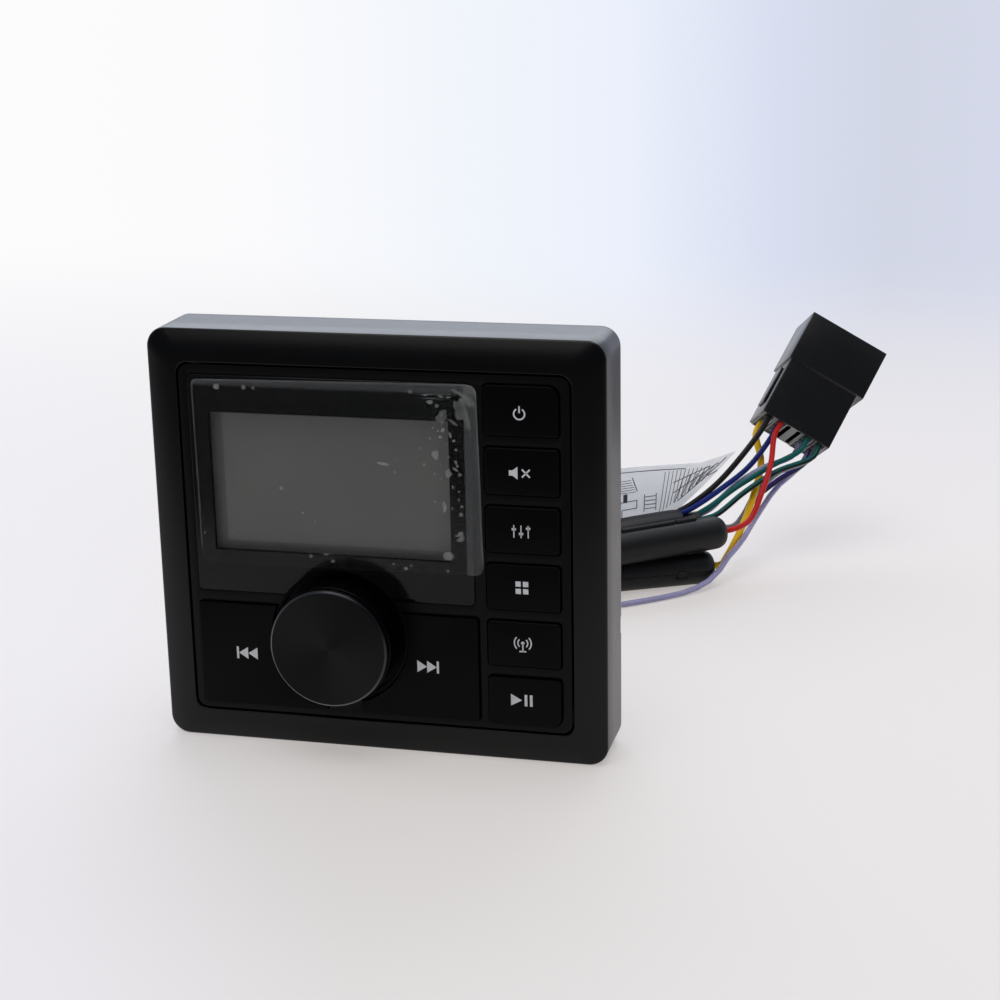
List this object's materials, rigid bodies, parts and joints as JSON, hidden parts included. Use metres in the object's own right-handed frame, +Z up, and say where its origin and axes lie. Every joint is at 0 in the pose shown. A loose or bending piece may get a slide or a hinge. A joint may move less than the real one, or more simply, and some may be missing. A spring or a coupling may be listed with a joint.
{
  "type": "marine stereo",
  "caption": "Flush-mount marine stereo with a square face, wide display, side keys, a push-and-turn knob and a wiring harness with fuse holders and a connector.",
  "frame": {"origin": "on the table under the middle of the unit, at half its depth from the knob's face to the rear sockets", "axes": "+X to the right of the face as it is read, +Y from the face to the back, +Z up"},
  "size_m": [0.1915, 0.259, 0.1214],
  "materials": {
    "ring_plastic": "satin moulded",
    "plate_plastic": "satin moulded",
    "key_plastic": "satin soft touch",
    "knob_plastic": "satin moulded",
    "knob_metal": "spun and black anodised",
    "lens": "polished",
    "film": "clear glossy film",
    "foam": "closed-cell foam",
    "display_glass": "smooth",
    "light_guide": "milky",
    "bare_steel": "zinc plated",
    "shaft_brass": "nickel plated",
    "nylon": "moulded",
    "encoder_plastic": "moulded",
    "seal_rubber": "moulded",
    "board": "solder resist over glass fibre",
    "switch_plastic": "moulded",
    "capacitor_sleeve": "shrink sleeve",
    "chip_plastic": "moulded",
    "case_plastic": "satin moulded",
    "sink_aluminium": "extruded",
    "socket_metal": "nickel plated",
    "grommet_rubber": "moulded",
    "sleeve_vinyl": "soft vinyl",
    "holder_plastic": "satin moulded",
    "fuse_glass": "clear tube with metal caps",
    "spring_brass": "tinned",
    "connector_plastic": "satin moulded",
    "paper": "printed",
    "yellow_vinyl": "soft vinyl",
    "red_vinyl": "soft vinyl",
    "black_vinyl": "soft vinyl",
    "navy_vinyl": "soft vinyl",
    "teal_vinyl": "soft vinyl",
    "lavender_vinyl": "soft vinyl",
    "grey_vinyl": "soft vinyl",
    "violet_vinyl": "soft vinyl"
  },
  "bodies": {
    "stereo": {"trim_ring": "ring_plastic", "front_housing": "plate_plastic", "mounting_gasket": "foam", "display_lens": "lens", "protective_film": "film", "lcd_panel": "display_glass", "lcd_backlight": "light_guide", "lcd_frame": "bare_steel", "encoder_body": "encoder_plastic", "encoder_nut": "bare_steel", "key_seal": "seal_rubber", "key_board": "board", "tactile_switches": "switch_plastic", "key_board_screws": "bare_steel", "board_connector": "nylon", "main_board": "board", "main_board_screws": "bare_steel", "capacitors": "capacitor_sleeve", "amplifier_chip": "chip_plastic", "rear_housing": "case_plastic", "case_screws": "bare_steel", "heat_sink": "sink_aluminium", "heat_sink_screws": "bare_steel", "antenna_socket": "socket_metal", "line_out_block": "switch_plastic", "line_out_sockets": "socket_metal", "harness_header": "nylon", "harness_grommet": "grommet_rubber", "harness_sleeve": "sleeve_vinyl", "speaker_sleeve": "sleeve_vinyl", "fuse_holder_lower": "holder_plastic", "fuse_lid_lower": "holder_plastic", "fuse_holder_upper": "holder_plastic", "fuses": "fuse_glass", "fuse_clips": "spring_brass", "connector_housing": "connector_plastic", "connector_pins": "spring_brass", "connector_latch": "connector_plastic", "wiring_tag": "paper", "yellow_wires": "yellow_vinyl", "red_wires": "red_vinyl", "black_wire": "black_vinyl", "navy_wire": "navy_vinyl", "teal_wires": "teal_vinyl", "lavender_wires": "lavender_vinyl", "grey_wire": "grey_vinyl", "violet_wire": "violet_vinyl"},
    "plunger": {"encoder_plunger": "nylon"},
    "knob": {"knob": "knob_plastic", "knob_cap": "knob_metal", "encoder_shaft": "shaft_brass"},
    "power_key": {"key_power": "key_plastic"},
    "mute_key": {"key_mute": "key_plastic"},
    "tone_key": {"key_tone": "key_plastic"},
    "mode_key": {"key_mode": "key_plastic"},
    "band_key": {"key_band": "key_plastic"},
    "play_key": {"key_play": "key_plastic"},
    "previous_key": {"key_previous": "key_plastic"},
    "next_key": {"key_next": "key_plastic"},
    "upper_fuse_lid": {"fuse_lid_upper": "holder_plastic"}
  },
  "joints": [
    {"name": "knob_push", "type": "slide", "parent": "stereo", "child": "plunger", "axis": [0, 1, 0], "range_m": [0, 0.0005], "stiffness_N_per_m": 2000},
    {"name": "knob_turn", "type": "hinge", "parent": "plunger", "child": "knob", "pos_m": [-0.0112, 0, 0.0344], "axis": [0, 1, 0], "continuous": true},
    {"name": "power_key_press", "type": "slide", "parent": "stereo", "child": "power_key", "axis": [0, 1, 0], "range_m": [0, 0.0006], "stiffness_N_per_m": 2000},
    {"name": "mute_key_press", "type": "slide", "parent": "stereo", "child": "mute_key", "axis": [0, 1, 0], "range_m": [0, 0.0006], "stiffness_N_per_m": 2000},
    {"name": "tone_key_press", "type": "slide", "parent": "stereo", "child": "tone_key", "axis": [0, 1, 0], "range_m": [0, 0.0006], "stiffness_N_per_m": 2000},
    {"name": "mode_key_press", "type": "slide", "parent": "stereo", "child": "mode_key", "axis": [0, 1, 0], "range_m": [0, 0.0006], "stiffness_N_per_m": 2000},
    {"name": "band_key_press", "type": "slide", "parent": "stereo", "child": "band_key", "axis": [0, 1, 0], "range_m": [0, 0.0006], "stiffness_N_per_m": 2000},
    {"name": "play_key_press", "type": "slide", "parent": "stereo", "child": "play_key", "axis": [0, 1, 0], "range_m": [0, 0.0006], "stiffness_N_per_m": 2000},
    {"name": "previous_key_press", "type": "slide", "parent": "stereo", "child": "previous_key", "axis": [0, 1, 0], "range_m": [0, 0.0006], "stiffness_N_per_m": 2000},
    {"name": "next_key_press", "type": "slide", "parent": "stereo", "child": "next_key", "axis": [0, 1, 0], "range_m": [0, 0.0006], "stiffness_N_per_m": 2000},
    {"name": "upper_fuse_lid_swing", "type": "hinge", "parent": "stereo", "child": "upper_fuse_lid", "pos_m": [0.05037, 0.13305, 0.02354], "axis": [-0.8379, -0.5441, -0.0436], "range_deg": [0, 110]}
  ]
}
